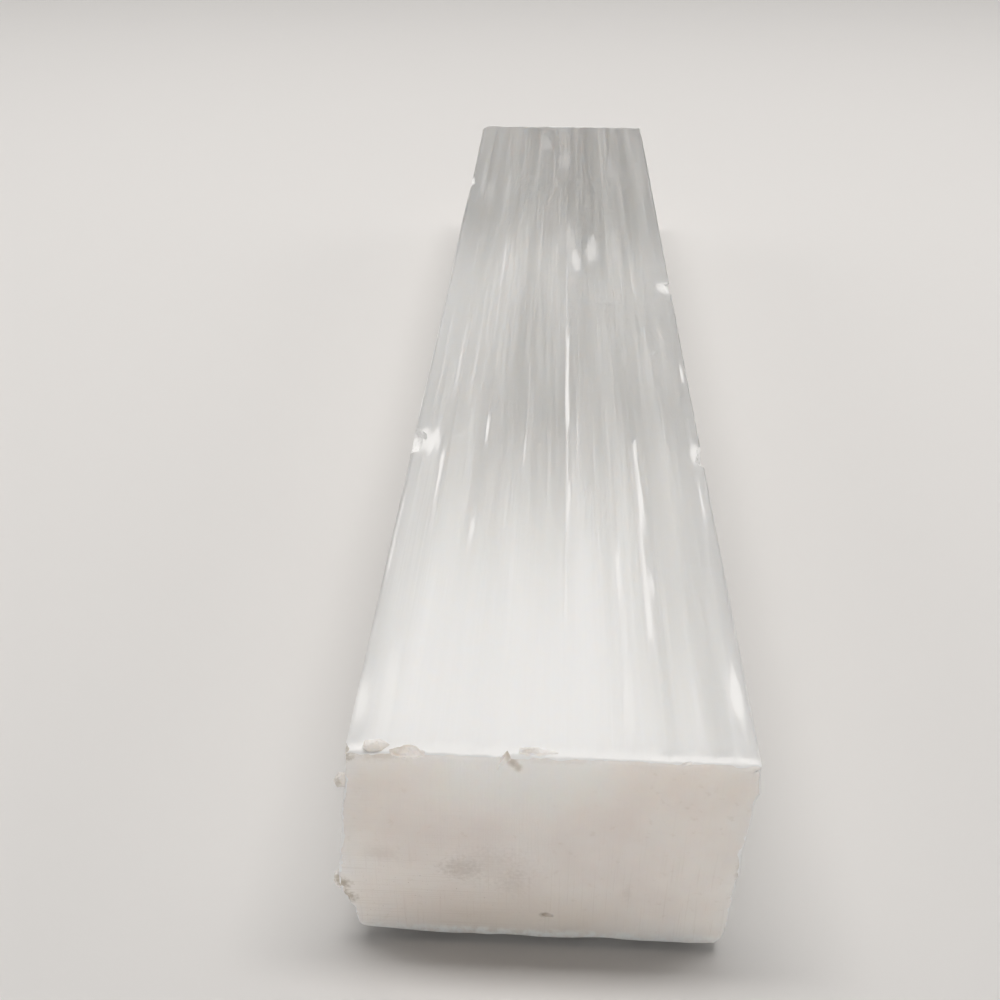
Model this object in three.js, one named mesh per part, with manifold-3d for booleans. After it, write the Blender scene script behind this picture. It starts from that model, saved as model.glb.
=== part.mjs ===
// Selenite block: one bar of satin spar, the fibrous white form of selenite, sawn square at both ends.
// Its four long sides follow the fibres. They carry shallow fibre ridges and cleavage ledges, their arrises
// are chipped, and the sawn ends are flat with crumbled edges.
// Units are millimetres. X runs across the block, Y along its fibres and Z up, from the middle of the base.
// The end at -Y is called the near end.

import * as THREE from "three";
import { mergeVertices } from "three/addons/utils/BufferGeometryUtils.js";
import Module from "manifold-3d";

const LENGTH = 250;
const HEIGHT = 31.5;
const NEAR_END = -LENGTH / 2;

// Towards the near end the base bows up: where along Y that starts, and how far it rises at the end itself.
// The lowest part of the section moves up with it, as high as its reach.
const BOW = { start: -84, rise: 1.5, reach: 11 };

// The section's corners [x, z], anticlockwise seen from the near end, each with the length that its rounding
// takes off either side. The left side leans out to a belly, and the right side overhangs at a lip.
const CORNERS = [
  { name: "base left", x: -22.0, z: 0, round: 1.7 },
  { name: "base right", x: 22.9, z: 0, round: 2.4 },
  { name: "lip underside", x: 24.0, z: 25.5, round: 0.4 },
  { name: "lip", x: 24.6, z: 26.7, round: 0.4 },
  { name: "top right", x: 24.0, z: HEIGHT, round: 0.8 },
  { name: "top left", x: -21.9, z: HEIGHT, round: 0.9 },
  { name: "belly", x: -24.5, z: 9.0, round: 2.4 },
];

// Cleavage ledges: strips of a side, between two levels, that split away along the fibres. A strip runs from
// start to end, measured along Y, and thins out over its last few millimetres. Levels are heights on the left
// and right sides and distances across on the top.
const LEDGES = [
  { side: "left", low: 20.1, high: 28.7, start: -38, end: LENGTH / 2, depth: 1.1 },
  { side: "left", low: 12.3, high: 16.1, start: -104, end: 22, depth: 0.7 },
  { side: "left", low: 4.0, high: 7.4, start: 8, end: LENGTH / 2, depth: 0.8 },
  { side: "right", low: 5.2, high: 11.6, start: -66, end: LENGTH / 2, depth: 0.9 },
  { side: "right", low: 16.3, high: 20.7, start: -112, end: 34, depth: 0.7 },
  { side: "top", low: 12.0, high: 14.4, start: -108, end: -52, depth: 0.25 },
  { side: "top", low: -19.4, high: -15.8, start: -88, end: -6, depth: 0.25 },
];
const LEDGE_FADE = 14;
const LEDGE_STEP = 0.35;
const LEDGE_RAGGEDNESS = { reach: 4, width: 1.7 };

// Shallow fibre ridges run the length of every side but the base. Each kind is so wide across and so long
// before it changes, and it is cut to its own depth on the top and deeper on the two upright sides.
const RIDGES = [
  { width: 6.5, length: 90, onTop: 0.12, onSide: 0.37 },
  { width: 2.6, length: 55, onTop: 0.08, onSide: 0.22 },
];
const RIDGE_SWAY = { reach: 0.9, length: 38 };
const SIDE_DRIFT = { depth: 0.5, length: 42 };

// Chips broken out of the long arrises and the sawn edges: where each is centred, how far it reaches across,
// along and down, and how far it is turned about the three axes, in degrees.
const CHIPS = [
  { at: [-22.2, -57.4, 32.1], reach: [3.6, 5.2, 2.1], turn: [6, 38, 12] },
  { at: [-22.6, -80.8, 31.7], reach: [1.5, 3.4, 1.3], turn: [-8, 44, -10] },
  { at: [24.5, -60.4, 31.9], reach: [2.7, 4.6, 1.9], turn: [5, -40, -14] },
  { at: [24.4, -71.0, 31.7], reach: [1.2, 3.6, 1.1], turn: [4, -44, 9] },
  { at: [24.3, 5.6, 31.8], reach: [2.4, 4.8, 1.6], turn: [-7, -36, 10] },
  { at: [24.3, -33.0, 31.8], reach: [1.3, 6.0, 1.1], turn: [3, -42, 5] },
  { at: [-22.4, 71.0, 31.9], reach: [2.2, 7.0, 1.7], turn: [4, 40, -6] },
  { at: [-22.2, 124.4, 31.7], reach: [3.2, 2.6, 2.4], turn: [30, 30, 20] },
  { at: [24.0, 125.2, 3.7], reach: [3.4, 2.2, 3.0], turn: [-24, 20, 12] },
  { at: [8.4, 125.6, 31.9], reach: [4.2, 1.8, 1.6], turn: [36, 8, 4] },
  { at: [-22.8, -124.6, 31.3], reach: [1.9, 1.9, 2.2], turn: [-20, 34, -8] },
  { at: [-14.8, -125.4, 32.0], reach: [2.9, 2.0, 1.2], turn: [-38, 6, 8] },
  { at: [-24.6, -125.3, 6.1], reach: [1.5, 1.8, 3.0], turn: [12, -10, 24] },
  { at: [-25.2, -125.2, 18.0], reach: [1.4, 1.5, 5.6], turn: [4, 2, 38] },
  { at: [24.2, -125.5, 12.5], reach: [1.4, 1.4, 6.6], turn: [-4, 3, -40] },
  { at: [15.6, -125.6, 31.8], reach: [2.4, 1.3, 0.9], turn: [-40, -4, 3] },
  { at: [1.2, -125.2, 5.2], reach: [0.9, 0.7, 0.5], turn: [0, 12, 0] },
];

// Crumbs that the saw left standing proud of the near end's edge, given in the same way.
const CRUMBS = [
  { at: [-18.1, -124.0, 31.2], reach: [1.7, 0.8, 1.2], turn: [14, 10, 8] },
  { at: [-0.6, -124.2, 31.1], reach: [2.6, 0.6, 1.0], turn: [-8, 3, 0] },
  { at: [-22.3, -123.9, 25.8], reach: [0.9, 0.8, 1.3], turn: [10, 22, 6] },
  { at: [-23.7, -124.0, 9.2], reach: [0.9, 0.7, 1.5], turn: [-12, 8, 10] },
];

// The crack in the near end, a wedge that opens at the top edge and runs down into the sawn face.
const CRACK = { at: [-3.8, -125.2, 31.3], reach: [0.7, 1.1, 3.0], lean: 28 };

// The sawn edges are rounded a little all round, and more where they have crumbled.
const SAWN_EDGE = { rounding: 0.4, crumble: 0.5, crumbWidth: 2.4 };

// How finely the surface is divided: the spacing round the section, by side, and along the block, the pieces
// in the curve of a corner, and how close two points count as one when the surface is closed.
const RING_SPACING = { base: 9, left: 2, right: 2, top: 2 };
const STATION_SPACING = 12.5;
const CORNER_PIECES = 3;
const MERGE_DISTANCE = 1e-4;

// Seeds of the noise, one for each thing that varies.
const SEED = { ridges: 1, leftDrift: 3, rightDrift: 4, nearEdge: 5, farEdge: 6, ledges: 20 };

// Repeatable noise between -1 and 1 over a plane: smooth between the whole-number points of a grid.
function gridValue(i, j, seed) {
  const v = Math.sin(i * 127.1 + j * 311.7 + seed * 74.7) * 43758.5453;
  return 2 * (v - Math.floor(v)) - 1;
}

function noise(a, b, seed) {
  const i = Math.floor(a);
  const j = Math.floor(b);
  const u = THREE.MathUtils.smoothstep(a - i, 0, 1);
  const v = THREE.MathUtils.smoothstep(b - j, 0, 1);
  const near = THREE.MathUtils.lerp(gridValue(i, j, seed), gridValue(i + 1, j, seed), u);
  const far = THREE.MathUtils.lerp(gridValue(i, j + 1, seed), gridValue(i + 1, j + 1, seed), u);
  return THREE.MathUtils.lerp(near, far, v);
}

// The section's outline: straight sides with each corner rounded by a quadratic curve.
function sectionOutline() {
  const corners = CORNERS.map((c) => new THREE.Vector2(c.x, c.z));
  const path = new THREE.Path();
  corners.forEach((corner, i) => {
    const before = corners.at(i - 1);
    const after = corners[(i + 1) % corners.length];
    const round = CORNERS[i].round;
    const enter = before.clone().sub(corner).setLength(round).add(corner);
    const leave = after.clone().sub(corner).setLength(round).add(corner);
    if (i === 0) path.moveTo(enter.x, enter.y);
    else path.lineTo(enter.x, enter.y);
    path.quadraticCurveTo(corner.x, corner.y, leave.x, leave.y);
  });
  path.closePath();
  return path;
}

// The outward normal of the outline where it runs along a tangent.
function outwards(tangent) {
  return new THREE.Vector2(tangent.y, -tangent.x);
}

// Which side a point of the outline is on, from its outward normal.
function sideOf(normal) {
  if (normal.y > 0.8) return "top";
  if (normal.y < -0.8) return "base";
  return normal.x < 0 ? "left" : "right";
}

// The outline as points, each with its outward normal, its side, and its place along the outline. Points lie
// evenly, closer round the corners, and in pairs where a ledge steps down.
function sectionPoints() {
  const path = sectionOutline();
  const length = path.getLength();
  const marks = [];
  let reached = 0;
  for (const curve of path.curves) {
    const own = curve.getLength();
    const spacing = RING_SPACING[sideOf(outwards(curve.getTangent(0.5)))];
    const pieces = curve.isQuadraticBezierCurve ? CORNER_PIECES : Math.max(1, Math.round(own / spacing));
    for (let i = 0; i < pieces; i++) marks.push(reached + (own * i) / pieces);
    reached += own;
  }
  const pointAt = (s) => {
    const at = path.getPointAt((s / length) % 1);
    const normal = outwards(path.getTangentAt((s / length) % 1));
    return { s, at, normal, side: sideOf(normal) };
  };
  for (const { side, low, high } of LEDGES) {
    const across = (p) => (side === "top" ? p.at.x : p.at.y);
    for (const level of [low, high])
      for (const s of ledgeEdge(pointAt, length, side, across, level)) marks.push(s);
  }
  marks.sort((a, b) => a - b);
  const kept = marks.filter((s, i) => i === 0 || s - marks[i - 1] > LEDGE_STEP / 2);
  return kept.map(pointAt);
}

// The two places along the outline between which a ledge steps down at one level of a side.
function ledgeEdge(pointAt, length, side, across, level) {
  const scan = 0.05;
  let best = 0;
  let least = Infinity;
  for (let s = 0; s < length; s += scan) {
    const p = pointAt(s);
    const miss = Math.abs(across(p) - level);
    if (p.side === side && miss < least) {
      least = miss;
      best = s;
    }
  }
  return [best - LEDGE_STEP / 2, best + LEDGE_STEP / 2];
}

// How deep the ledges are cut at a point of the outline, at a distance along the block.
function ledgeDepth(point, y) {
  let depth = 0;
  LEDGES.forEach(({ side, low, high, start, end, depth: full }, i) => {
    const across = side === "top" ? point.at.x : point.at.y;
    if (point.side !== side || across < low || across > high) return;
    const ragged = LEDGE_RAGGEDNESS.reach * noise(across / LEDGE_RAGGEDNESS.width, 0, SEED.ledges + i);
    const fadeIn = start <= NEAR_END ? 1 : (y - start - ragged) / LEDGE_FADE;
    const fadeOut = end >= LENGTH / 2 ? 1 : (end - y + ragged) / LEDGE_FADE;
    depth = Math.max(depth, full * THREE.MathUtils.clamp(Math.min(fadeIn, fadeOut), 0, 1));
  });
  return depth;
}

// How deep the surface lies under the smooth section: the fibre ridges, a slow drift of the upright sides
// along the block, and the ledges. The base was ground flat, so all of it dies out round the lower corners.
function relief(point, y) {
  const upright = Math.abs(point.normal.x);
  const across = point.s + RIDGE_SWAY.reach * Math.sin(y / RIDGE_SWAY.length);
  let depth = ledgeDepth(point, y);
  RIDGES.forEach(({ width, length, onTop, onSide }, i) => {
    const full = THREE.MathUtils.lerp(onTop, onSide, upright);
    depth += full * (0.5 + 0.5 * noise(across / width, y / length, SEED.ridges + i));
  });
  const driftSeed = point.side === "left" ? SEED.leftDrift : SEED.rightDrift;
  depth += SIDE_DRIFT.depth * upright * (0.5 + 0.5 * noise(y / SIDE_DRIFT.length, 0, driftSeed));
  return depth * THREE.MathUtils.smoothstep(point.normal.y, -1, -0.4);
}

// How far the bow of the base lifts a point of the section at a distance along the block.
function lift(z, y) {
  const along = Math.max(0, (BOW.start - y) / (BOW.start - NEAR_END));
  return BOW.rise * along ** 2 * (1 - THREE.MathUtils.smoothstep(z, 0, BOW.reach));
}

// One ring of vertices round the block at a distance along it. inset gives how far each point is drawn in
// beyond the relief.
function ring(points, y, inset = () => 0) {
  return points.map((point) => {
    const { at, normal } = point;
    const depth = relief(point, y) + inset(point);
    const z = at.y - normal.y * depth;
    return new THREE.Vector3(at.x - normal.x * depth, y, z + lift(z, y));
  });
}

// The edge of a sawn end, drawn in where it is rounded and crumbled.
function endRing(points, y, seed) {
  const { rounding, crumble, crumbWidth } = SAWN_EDGE;
  return ring(points, y, ({ s }) => rounding + crumble * Math.max(0, noise(s / crumbWidth, 0, seed)));
}

// A closed surface through rings of equal length, from one sawn end to the other, with a point in each end.
function loftedBlock() {
  const points = sectionPoints();
  const far = LENGTH / 2;
  const stations = Math.round(LENGTH / STATION_SPACING);
  const rings = [endRing(points, NEAR_END, SEED.nearEdge)];
  for (let i = 0; i <= stations; i++) {
    const y = THREE.MathUtils.lerp(NEAR_END + SAWN_EDGE.rounding, far - SAWN_EDGE.rounding, i / stations);
    rings.push(ring(points, y));
  }
  rings.push(endRing(points, far, SEED.farEdge));

  const count = points.length;
  const vertices = rings.flat();
  const nearMiddle = vertices.push(new THREE.Vector3(0, NEAR_END, HEIGHT / 2)) - 1;
  const farMiddle = vertices.push(new THREE.Vector3(0, far, HEIGHT / 2)) - 1;
  const triangles = [];
  for (let i = 0; i < count; i++) {
    const next = (i + 1) % count;
    triangles.push(nearMiddle, i, next);
    for (let k = 0; k < rings.length - 1; k++) {
      const here = k * count;
      const there = here + count;
      triangles.push(here + i, there + i, there + next);
      triangles.push(here + i, there + next, here + next);
    }
    const last = (rings.length - 1) * count;
    triangles.push(farMiddle, last + next, last + i);
  }
  return new THREE.BufferGeometry().setFromPoints(vertices).setIndex(triangles);
}

// A flat-faced lump, the shape of a crumb and of the gap that a chip leaves behind it.
function lump({ at, reach, turn }) {
  const euler = new THREE.Euler(...turn.map(THREE.MathUtils.degToRad));
  const place = new THREE.Matrix4().makeRotationFromEuler(euler).setPosition(...at);
  return new THREE.IcosahedronGeometry(1, 0).scale(...reach).applyMatrix4(place);
}

function crackWedge({ at, reach, lean }) {
  const wedge = new THREE.OctahedronGeometry(1, 0).scale(...reach);
  return wedge.rotateY(THREE.MathUtils.degToRad(-lean)).translate(...at);
}

const wasm = await Module();
wasm.setup();

// A closed three.js geometry as a solid that can be cut.
function solidOf(geometry) {
  geometry.deleteAttribute("normal");
  geometry.deleteAttribute("uv");
  const merged = mergeVertices(geometry, MERGE_DISTANCE);
  return new wasm.Manifold(
    new wasm.Mesh({
      numProp: 3,
      vertProperties: merged.attributes.position.array,
      triVerts: new Uint32Array(merged.index.array),
    }),
  );
}

function geometryOf(solid) {
  const mesh = solid.getMesh();
  const geometry = new THREE.BufferGeometry();
  geometry.setAttribute("position", new THREE.BufferAttribute(mesh.vertProperties, 3));
  geometry.setIndex(new THREE.BufferAttribute(mesh.triVerts, 1));
  geometry.computeVertexNormals();
  return geometry;
}

function seleniteBlock() {
  const whole = solidOf(loftedBlock());
  const crumbed = CRUMBS.reduce((solid, crumb) => solid.add(solidOf(lump(crumb))), whole);
  const cutters = [...CHIPS.map(lump), crackWedge(CRACK)];
  const chipped = cutters.reduce((solid, cutter) => solid.subtract(solidOf(cutter)), crumbed);
  const geometry = geometryOf(chipped);
  geometry.computeBoundingBox();
  const { min, max } = geometry.boundingBox;
  geometry.translate(-(min.x + max.x) / 2, 0, 0);
  const satin = new THREE.MeshStandardMaterial({ color: 0xe4e0da, roughness: 0.35, metalness: 0 });
  const mesh = new THREE.Mesh(geometry, satin);
  mesh.name = "selenite_block";
  return mesh;
}

const block = new THREE.Group();
block.add(seleniteBlock());

export default block;
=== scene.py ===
"""Looks of the selenite block: a bar of satin spar with silky fibres along it, and chalky sawn ends.

The block is modelled finely here and replaces its CAD solid. Lengths in the tables are millimetres, as in
the part's own source, and are scaled to metres where a mesh or a texture is made. X runs across the block,
Y along its fibres and Z up, and the near end is the one at -Y.
"""

import math

import bmesh
import bpy
import numpy as np
from mathutils import Euler, Matrix, Vector


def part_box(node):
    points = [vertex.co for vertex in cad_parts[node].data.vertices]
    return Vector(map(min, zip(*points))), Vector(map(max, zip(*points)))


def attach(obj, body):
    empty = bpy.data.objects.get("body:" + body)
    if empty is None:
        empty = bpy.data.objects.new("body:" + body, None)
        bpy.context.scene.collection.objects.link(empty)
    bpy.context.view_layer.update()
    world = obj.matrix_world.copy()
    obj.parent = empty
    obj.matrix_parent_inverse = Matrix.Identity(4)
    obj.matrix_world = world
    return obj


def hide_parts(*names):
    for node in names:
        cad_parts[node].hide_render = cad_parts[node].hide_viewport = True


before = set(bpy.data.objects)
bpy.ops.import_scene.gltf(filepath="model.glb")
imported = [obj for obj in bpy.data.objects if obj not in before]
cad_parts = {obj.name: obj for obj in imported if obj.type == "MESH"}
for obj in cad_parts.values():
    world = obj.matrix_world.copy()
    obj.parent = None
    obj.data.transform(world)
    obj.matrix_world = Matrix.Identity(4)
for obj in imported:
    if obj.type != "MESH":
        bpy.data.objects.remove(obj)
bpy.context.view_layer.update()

MM = 0.001
NODE = "selenite_block"
low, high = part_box(NODE)
LENGTH = (high.y - low.y) / MM
NEAR_END = -LENGTH / 2
FAR_END = LENGTH / 2
HEIGHT = 31.5

# One number for each random pattern. Where a pattern has several parts, they count up from it.
SEED = {
    "splinters": 11,
    "ridges": 1,
    "left drift": 3,
    "right drift": 4,
    "near end": 5,
    "far end": 6,
    "ledge ends": 20,
    "fine crumble": 40,
    "crumble reach": 50,
    "splinter ends": 100,
    "crumbs": 200,
    "chips": 300,
    "crack": 400,
    "lump pits": 7,
    "streak wander": 500,
    "streak swell": 520,
    "streak breaks": 540,
    "clouds": 560,
}

# ---------------------------------------------------------------------------------------------------------
# Shape. The section, the ledges of the sides, the broad ridges, the chips, the crumbs and the crack are the
# CAD solid's own. The ledges of the top are shallower here and the bow lower on the right. The finer ridges
# and the splinter scars are added here.

# Towards the near end the base bows up: where that starts, how far it rises at the end's left corner and
# in the rest of its width, between which places across it falls to that, and how high up it reaches.
BOW_START = -84.0
BOW_RISE = (1.5, 0.75)
BOW_FALL = (-23.0, -9.0)
BOW_REACH = 11.0

# Corners [x, z], anticlockwise seen from the near end, and the length that rounding takes off either side.
TOP_RIGHT = (24.0, HEIGHT, 0.8)
TOP_LEFT = (-21.9, HEIGHT, 0.9)
CORNERS = [
    (-22.0, 0.0, 1.7),
    (22.9, 0.0, 2.4),
    (24.0, 25.5, 0.4),
    (24.6, 26.7, 0.4),
    TOP_RIGHT,
    TOP_LEFT,
    (-24.5, 9.0, 2.4),
]

# Cleavage ledges: side, low level, high level, start, end, depth.
LEDGES = [
    ("left", 20.1, 28.7, -38, FAR_END, 1.1),
    ("left", 12.3, 16.1, -104, 22, 0.7),
    ("left", 4.0, 7.4, 8, FAR_END, 0.8),
    ("right", 5.2, 11.6, -66, FAR_END, 0.9),
    ("right", 16.3, 20.7, -112, 34, 0.7),
    ("top", 12.0, 14.4, -108, -52, 0.08),
    ("top", -19.4, -15.8, -88, -6, 0.10),
]
LEDGE_FADE = 14.0
LEDGE_RAGGEDNESS = (4.0, 1.7)  # reach along the block, width across it

# Splinter scars: long thin strips that split away along the fibres, scattered over each side.
SPLINTERS = {"left": 70, "right": 70, "top": 34}
SPLINTER_LEVELS = {"left": (1.5, 28.5), "right": (1.5, 28.5), "top": (-20.5, 22.5)}
SPLINTER_WIDTH = (0.4, 2.2)
SPLINTER_LENGTH = (14.0, 80.0)
SPLINTER_DEPTH = {"left": (0.05, 0.28), "right": (0.05, 0.28), "top": (0.005, 0.025)}
SPLINTER_FADE = 8.0
SPLINTER_RAGGEDNESS = (3.0, 0.3)

# Fibre ridges: width across, length before they change, depth on the top, depth on the upright sides.
RIDGES = [
    (6.5, 90.0, 0.12, 0.37),
    (2.6, 55.0, 0.07, 0.22),
    (1.1, 34.0, 0.018, 0.10),
    (0.5, 26.0, 0.006, 0.045),
]
RIDGE_SWAY = (0.9, 38.0)
SIDE_DRIFT = (0.5, 42.0)

# How much of a unit normal points up or down where a side counts as the top or the base, and the upward
# parts of a normal between which the relief fades in above the flat base.
LEVEL_SIDE = 0.8
RELIEF_STARTS = (-1, -0.4)

# Chips out of the arrises and the sawn edges: centre, reach across, along and down, and turn in degrees.
CHIPS = [
    ((-22.2, -57.4, 32.1), (3.6, 5.2, 2.1), (6, 38, 12)),
    ((-22.6, -80.8, 31.7), (1.5, 3.4, 1.3), (-8, 44, -10)),
    ((24.5, -60.4, 31.9), (2.7, 4.6, 1.9), (5, -40, -14)),
    ((24.4, -71.0, 31.7), (1.2, 3.6, 1.1), (4, -44, 9)),
    ((24.3, 5.6, 31.8), (2.4, 4.8, 1.6), (-7, -36, 10)),
    ((24.3, -33.0, 31.8), (1.3, 6.0, 1.1), (3, -42, 5)),
    ((-22.4, 71.0, 31.9), (2.2, 7.0, 1.7), (4, 40, -6)),
    ((-22.2, 124.4, 31.7), (3.2, 2.6, 2.4), (30, 30, 20)),
    ((24.0, 125.2, 3.7), (3.4, 2.2, 3.0), (-24, 20, 12)),
    ((8.4, 125.6, 31.9), (4.2, 1.8, 1.6), (36, 8, 4)),
    ((-22.8, -124.6, 31.3), (1.9, 1.9, 2.2), (-20, 34, -8)),
    ((-14.8, -125.4, 32.0), (2.9, 2.0, 1.2), (-38, 6, 8)),
    ((-24.6, -125.3, 6.1), (1.5, 1.8, 3.0), (12, -10, 24)),
    ((-25.2, -125.2, 18.0), (1.4, 1.5, 5.6), (4, 2, 38)),
    ((24.2, -125.5, 12.5), (1.4, 1.4, 6.6), (-4, 3, -40)),
    ((15.6, -125.6, 31.8), (2.4, 1.3, 0.9), (-40, -4, 3)),
    ((1.2, -125.2, 5.2), (0.9, 0.7, 0.5), (0, 12, 0)),
]
# A chip this near a sawn end breaks into its chalky skin.
CHALKY_DEPTH = 1.0

# Crumbs that stand proud of the near end's edge, and its crack, given in the same way.
CRUMBS = [
    ((-18.1, -124.0, 31.2), (1.7, 0.8, 1.2), (14, 10, 8)),
    ((-0.6, -124.2, 31.1), (2.6, 0.6, 1.0), (-8, 3, 0)),
    ((-22.3, -123.9, 25.8), (0.9, 0.8, 1.3), (10, 22, 6)),
    ((-23.7, -124.0, 9.2), (0.9, 0.7, 1.5), (-12, 8, 10)),
]
CRACK = ((-3.8, -125.2, 31.3), (0.7, 1.1, 3.0), (0, 28, 0))

# The sawn edges: rounding, depth and width of the crumbling, depth and grain of its finer part, how far in
# from the end it reaches at least and at most, and the width over which that changes.
SAWN_ROUNDING = 0.4
SAWN_CRUMBLE = 0.5
SAWN_CRUMB_WIDTH = 2.4
FINE_CRUMBLE = 0.22
FINE_CRUMBLE_GRAIN = (0.7, 0.6)
CRUMBLE_REACH = (0.5, 1.6)
CRUMBLE_REACH_WIDTH = 1.6

# Points round the section: the spacing on each side, and the pieces in the curve of a corner.
SPACING = {"top": 0.2, "left": 0.22, "right": 0.22, "base": 2.0}
CORNER_PIECES = 8
# Rings along the block: the even spacing, where it starts and stops short of a sawn end, and the distances
# from the end where rings crowd.
STATION_SPACING = 2.6
END_ZONE = 3.0
END_STATIONS = [0.1, 0.25, 0.45, 0.8, 1.3, 2.0]
# Rings that close a sawn end, by size, and the points on either side over which each outline is averaged.
CAP_RINGS = [0.97, 0.9, 0.78, 0.62, 0.44, 0.24]
CAP_SMOOTHING = 7

# Factors that scramble a point of a grid and a pattern's number into a value that looks random.
SCRAMBLE = (127.1, 311.7, 74.7)
SCRAMBLE_SPREAD = 43758.5453


def smoothstep(x, start, end):
    t = np.clip((x - start) / (end - start), 0, 1)
    return t * t * (3 - 2 * t)


def grid_value(i, j, seed):
    """A repeatable value between -1 and 1 that looks random, for each whole-number point of a grid."""
    v = np.sin(i * SCRAMBLE[0] + j * SCRAMBLE[1] + seed * SCRAMBLE[2]) * SCRAMBLE_SPREAD
    return 2 * (v - np.floor(v)) - 1


def noise(a, b, seed):
    """Repeatable noise between -1 and 1 over a plane, smooth between the points of a grid."""
    a, b = np.broadcast_arrays(np.asarray(a, float), np.asarray(b, float))
    i, j = np.floor(a), np.floor(b)
    u, v = smoothstep(a - i, 0, 1), smoothstep(b - j, 0, 1)
    near = grid_value(i, j, seed) * (1 - u) + grid_value(i + 1, j, seed) * u
    far = grid_value(i, j + 1, seed) * (1 - u) + grid_value(i + 1, j + 1, seed) * u
    return near * (1 - v) + far * v


def unit_noise(a, b, seed):
    """The same noise between 0 and 1."""
    return 0.5 + 0.5 * noise(a, b, seed)


def side_of(normal):
    if abs(normal[1]) > LEVEL_SIDE:
        return "top" if normal[1] > 0 else "base"
    return "left" if normal[0] < 0 else "right"


def rounding_ends(corner, before, after, rounding):
    """Where the curve of a rounded corner starts and ends."""
    ways = (before - corner, after - corner)
    return [corner + way / np.linalg.norm(way) * rounding for way in ways]


def section():
    """The smooth outline: its points [x, z], outward normals, lengths along it, and its sides' names."""
    corners = [np.array(c[:2]) for c in CORNERS]
    curves = []
    for i, corner in enumerate(corners):
        after = corners[(i + 1) % len(corners)]
        curves.append(rounding_ends(corner, corners[i - 1], after, CORNERS[i][2]))
    points, tangents = [], []
    for i, corner in enumerate(corners):
        enter, leave = curves[i]
        for t in np.arange(CORNER_PIECES) / CORNER_PIECES:
            points.append((1 - t) ** 2 * enter + 2 * t * (1 - t) * corner + t**2 * leave)
            tangents.append((1 - t) * (corner - enter) + t * (leave - corner))
        along = curves[(i + 1) % len(corners)][0] - leave
        direction = along / np.linalg.norm(along)
        side = side_of((direction[1], -direction[0]))
        pieces = max(1, round(np.linalg.norm(along) / SPACING[side]))
        for t in np.arange(pieces) / pieces:
            points.append(leave + along * t)
            tangents.append(direction)
    points = np.array(points)
    tangents = np.array(tangents)
    tangents /= np.linalg.norm(tangents, axis=1)[:, None]
    normals = np.stack([tangents[:, 1], -tangents[:, 0]], axis=1)
    steps = np.linalg.norm(np.roll(points, -1, axis=0) - points, axis=1)
    reached = np.concatenate([[0], np.cumsum(steps)[:-1]])
    return points, normals, reached, np.array([side_of(n) for n in normals])


def scattered_splinters():
    """Each splinter scar as (side, low level, high level, start, end, depth)."""
    rng = np.random.default_rng(SEED["splinters"])
    scars = []
    for side, count in SPLINTERS.items():
        lowest, highest = SPLINTER_LEVELS[side]
        for _ in range(count):
            width = rng.uniform(*SPLINTER_WIDTH)
            length = rng.uniform(*SPLINTER_LENGTH)
            level = rng.uniform(lowest, highest - width)
            start = rng.uniform(NEAR_END - length / 2, FAR_END - length / 2)
            depth = rng.uniform(*SPLINTER_DEPTH[side])
            scars.append((side, level, level + width, start, start + length, depth))
    return scars


def strip_depth(across, sides, y, strips, fade, raggedness, seed):
    """How deep the strips are cut at each point of the section, for a station y along the block."""
    depth = np.zeros(len(sides))
    for i, (side, level_low, level_high, start, end, full) in enumerate(strips):
        if not start < y < end:
            continue
        inside = (sides == side) & (across >= level_low) & (across <= level_high)
        ragged = raggedness[0] * noise(across[inside] / raggedness[1], 0, seed + i)
        fade_in = 1 if start <= NEAR_END else (y - start - ragged) / fade
        fade_out = 1 if end >= FAR_END else (end - y + ragged) / fade
        depth[inside] = np.maximum(depth[inside], full * np.clip(np.minimum(fade_in, fade_out), 0, 1))
    return depth


def relief(points, normals, reached, sides, y, splinters):
    """How deep the surface lies under the smooth section at a station y. The base is flat."""
    upright = np.abs(normals[:, 0])
    across = np.where(sides == "top", points[:, 0], points[:, 1])
    ledges = (LEDGES, LEDGE_FADE, LEDGE_RAGGEDNESS, SEED["ledge ends"])
    scars = (splinters, SPLINTER_FADE, SPLINTER_RAGGEDNESS, SEED["splinter ends"])
    depth = strip_depth(across, sides, y, *ledges) + strip_depth(across, sides, y, *scars)
    sway = reached + RIDGE_SWAY[0] * math.sin(y / RIDGE_SWAY[1])
    for i, (width, length, on_top, on_side) in enumerate(RIDGES):
        full = on_top * (1 - upright) + on_side * upright
        depth += full * unit_noise(sway / width, y / length, SEED["ridges"] + i)
    furthest, length = SIDE_DRIFT
    left, right = (unit_noise(y / length, 0, SEED[drift]) for drift in ("left drift", "right drift"))
    depth += furthest * upright * np.where(sides == "left", left, right)
    return depth * smoothstep(normals[:, 1], *RELIEF_STARTS)


def lift(x, z, y):
    """How far the bow of the base lifts a point of the section at a station y."""
    along = max(0.0, (BOW_START - y) / (BOW_START - NEAR_END))
    rise = BOW_RISE[0] + (BOW_RISE[1] - BOW_RISE[0]) * smoothstep(x, *BOW_FALL)
    return rise * along**2 * (1 - smoothstep(z, 0, BOW_REACH))


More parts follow.
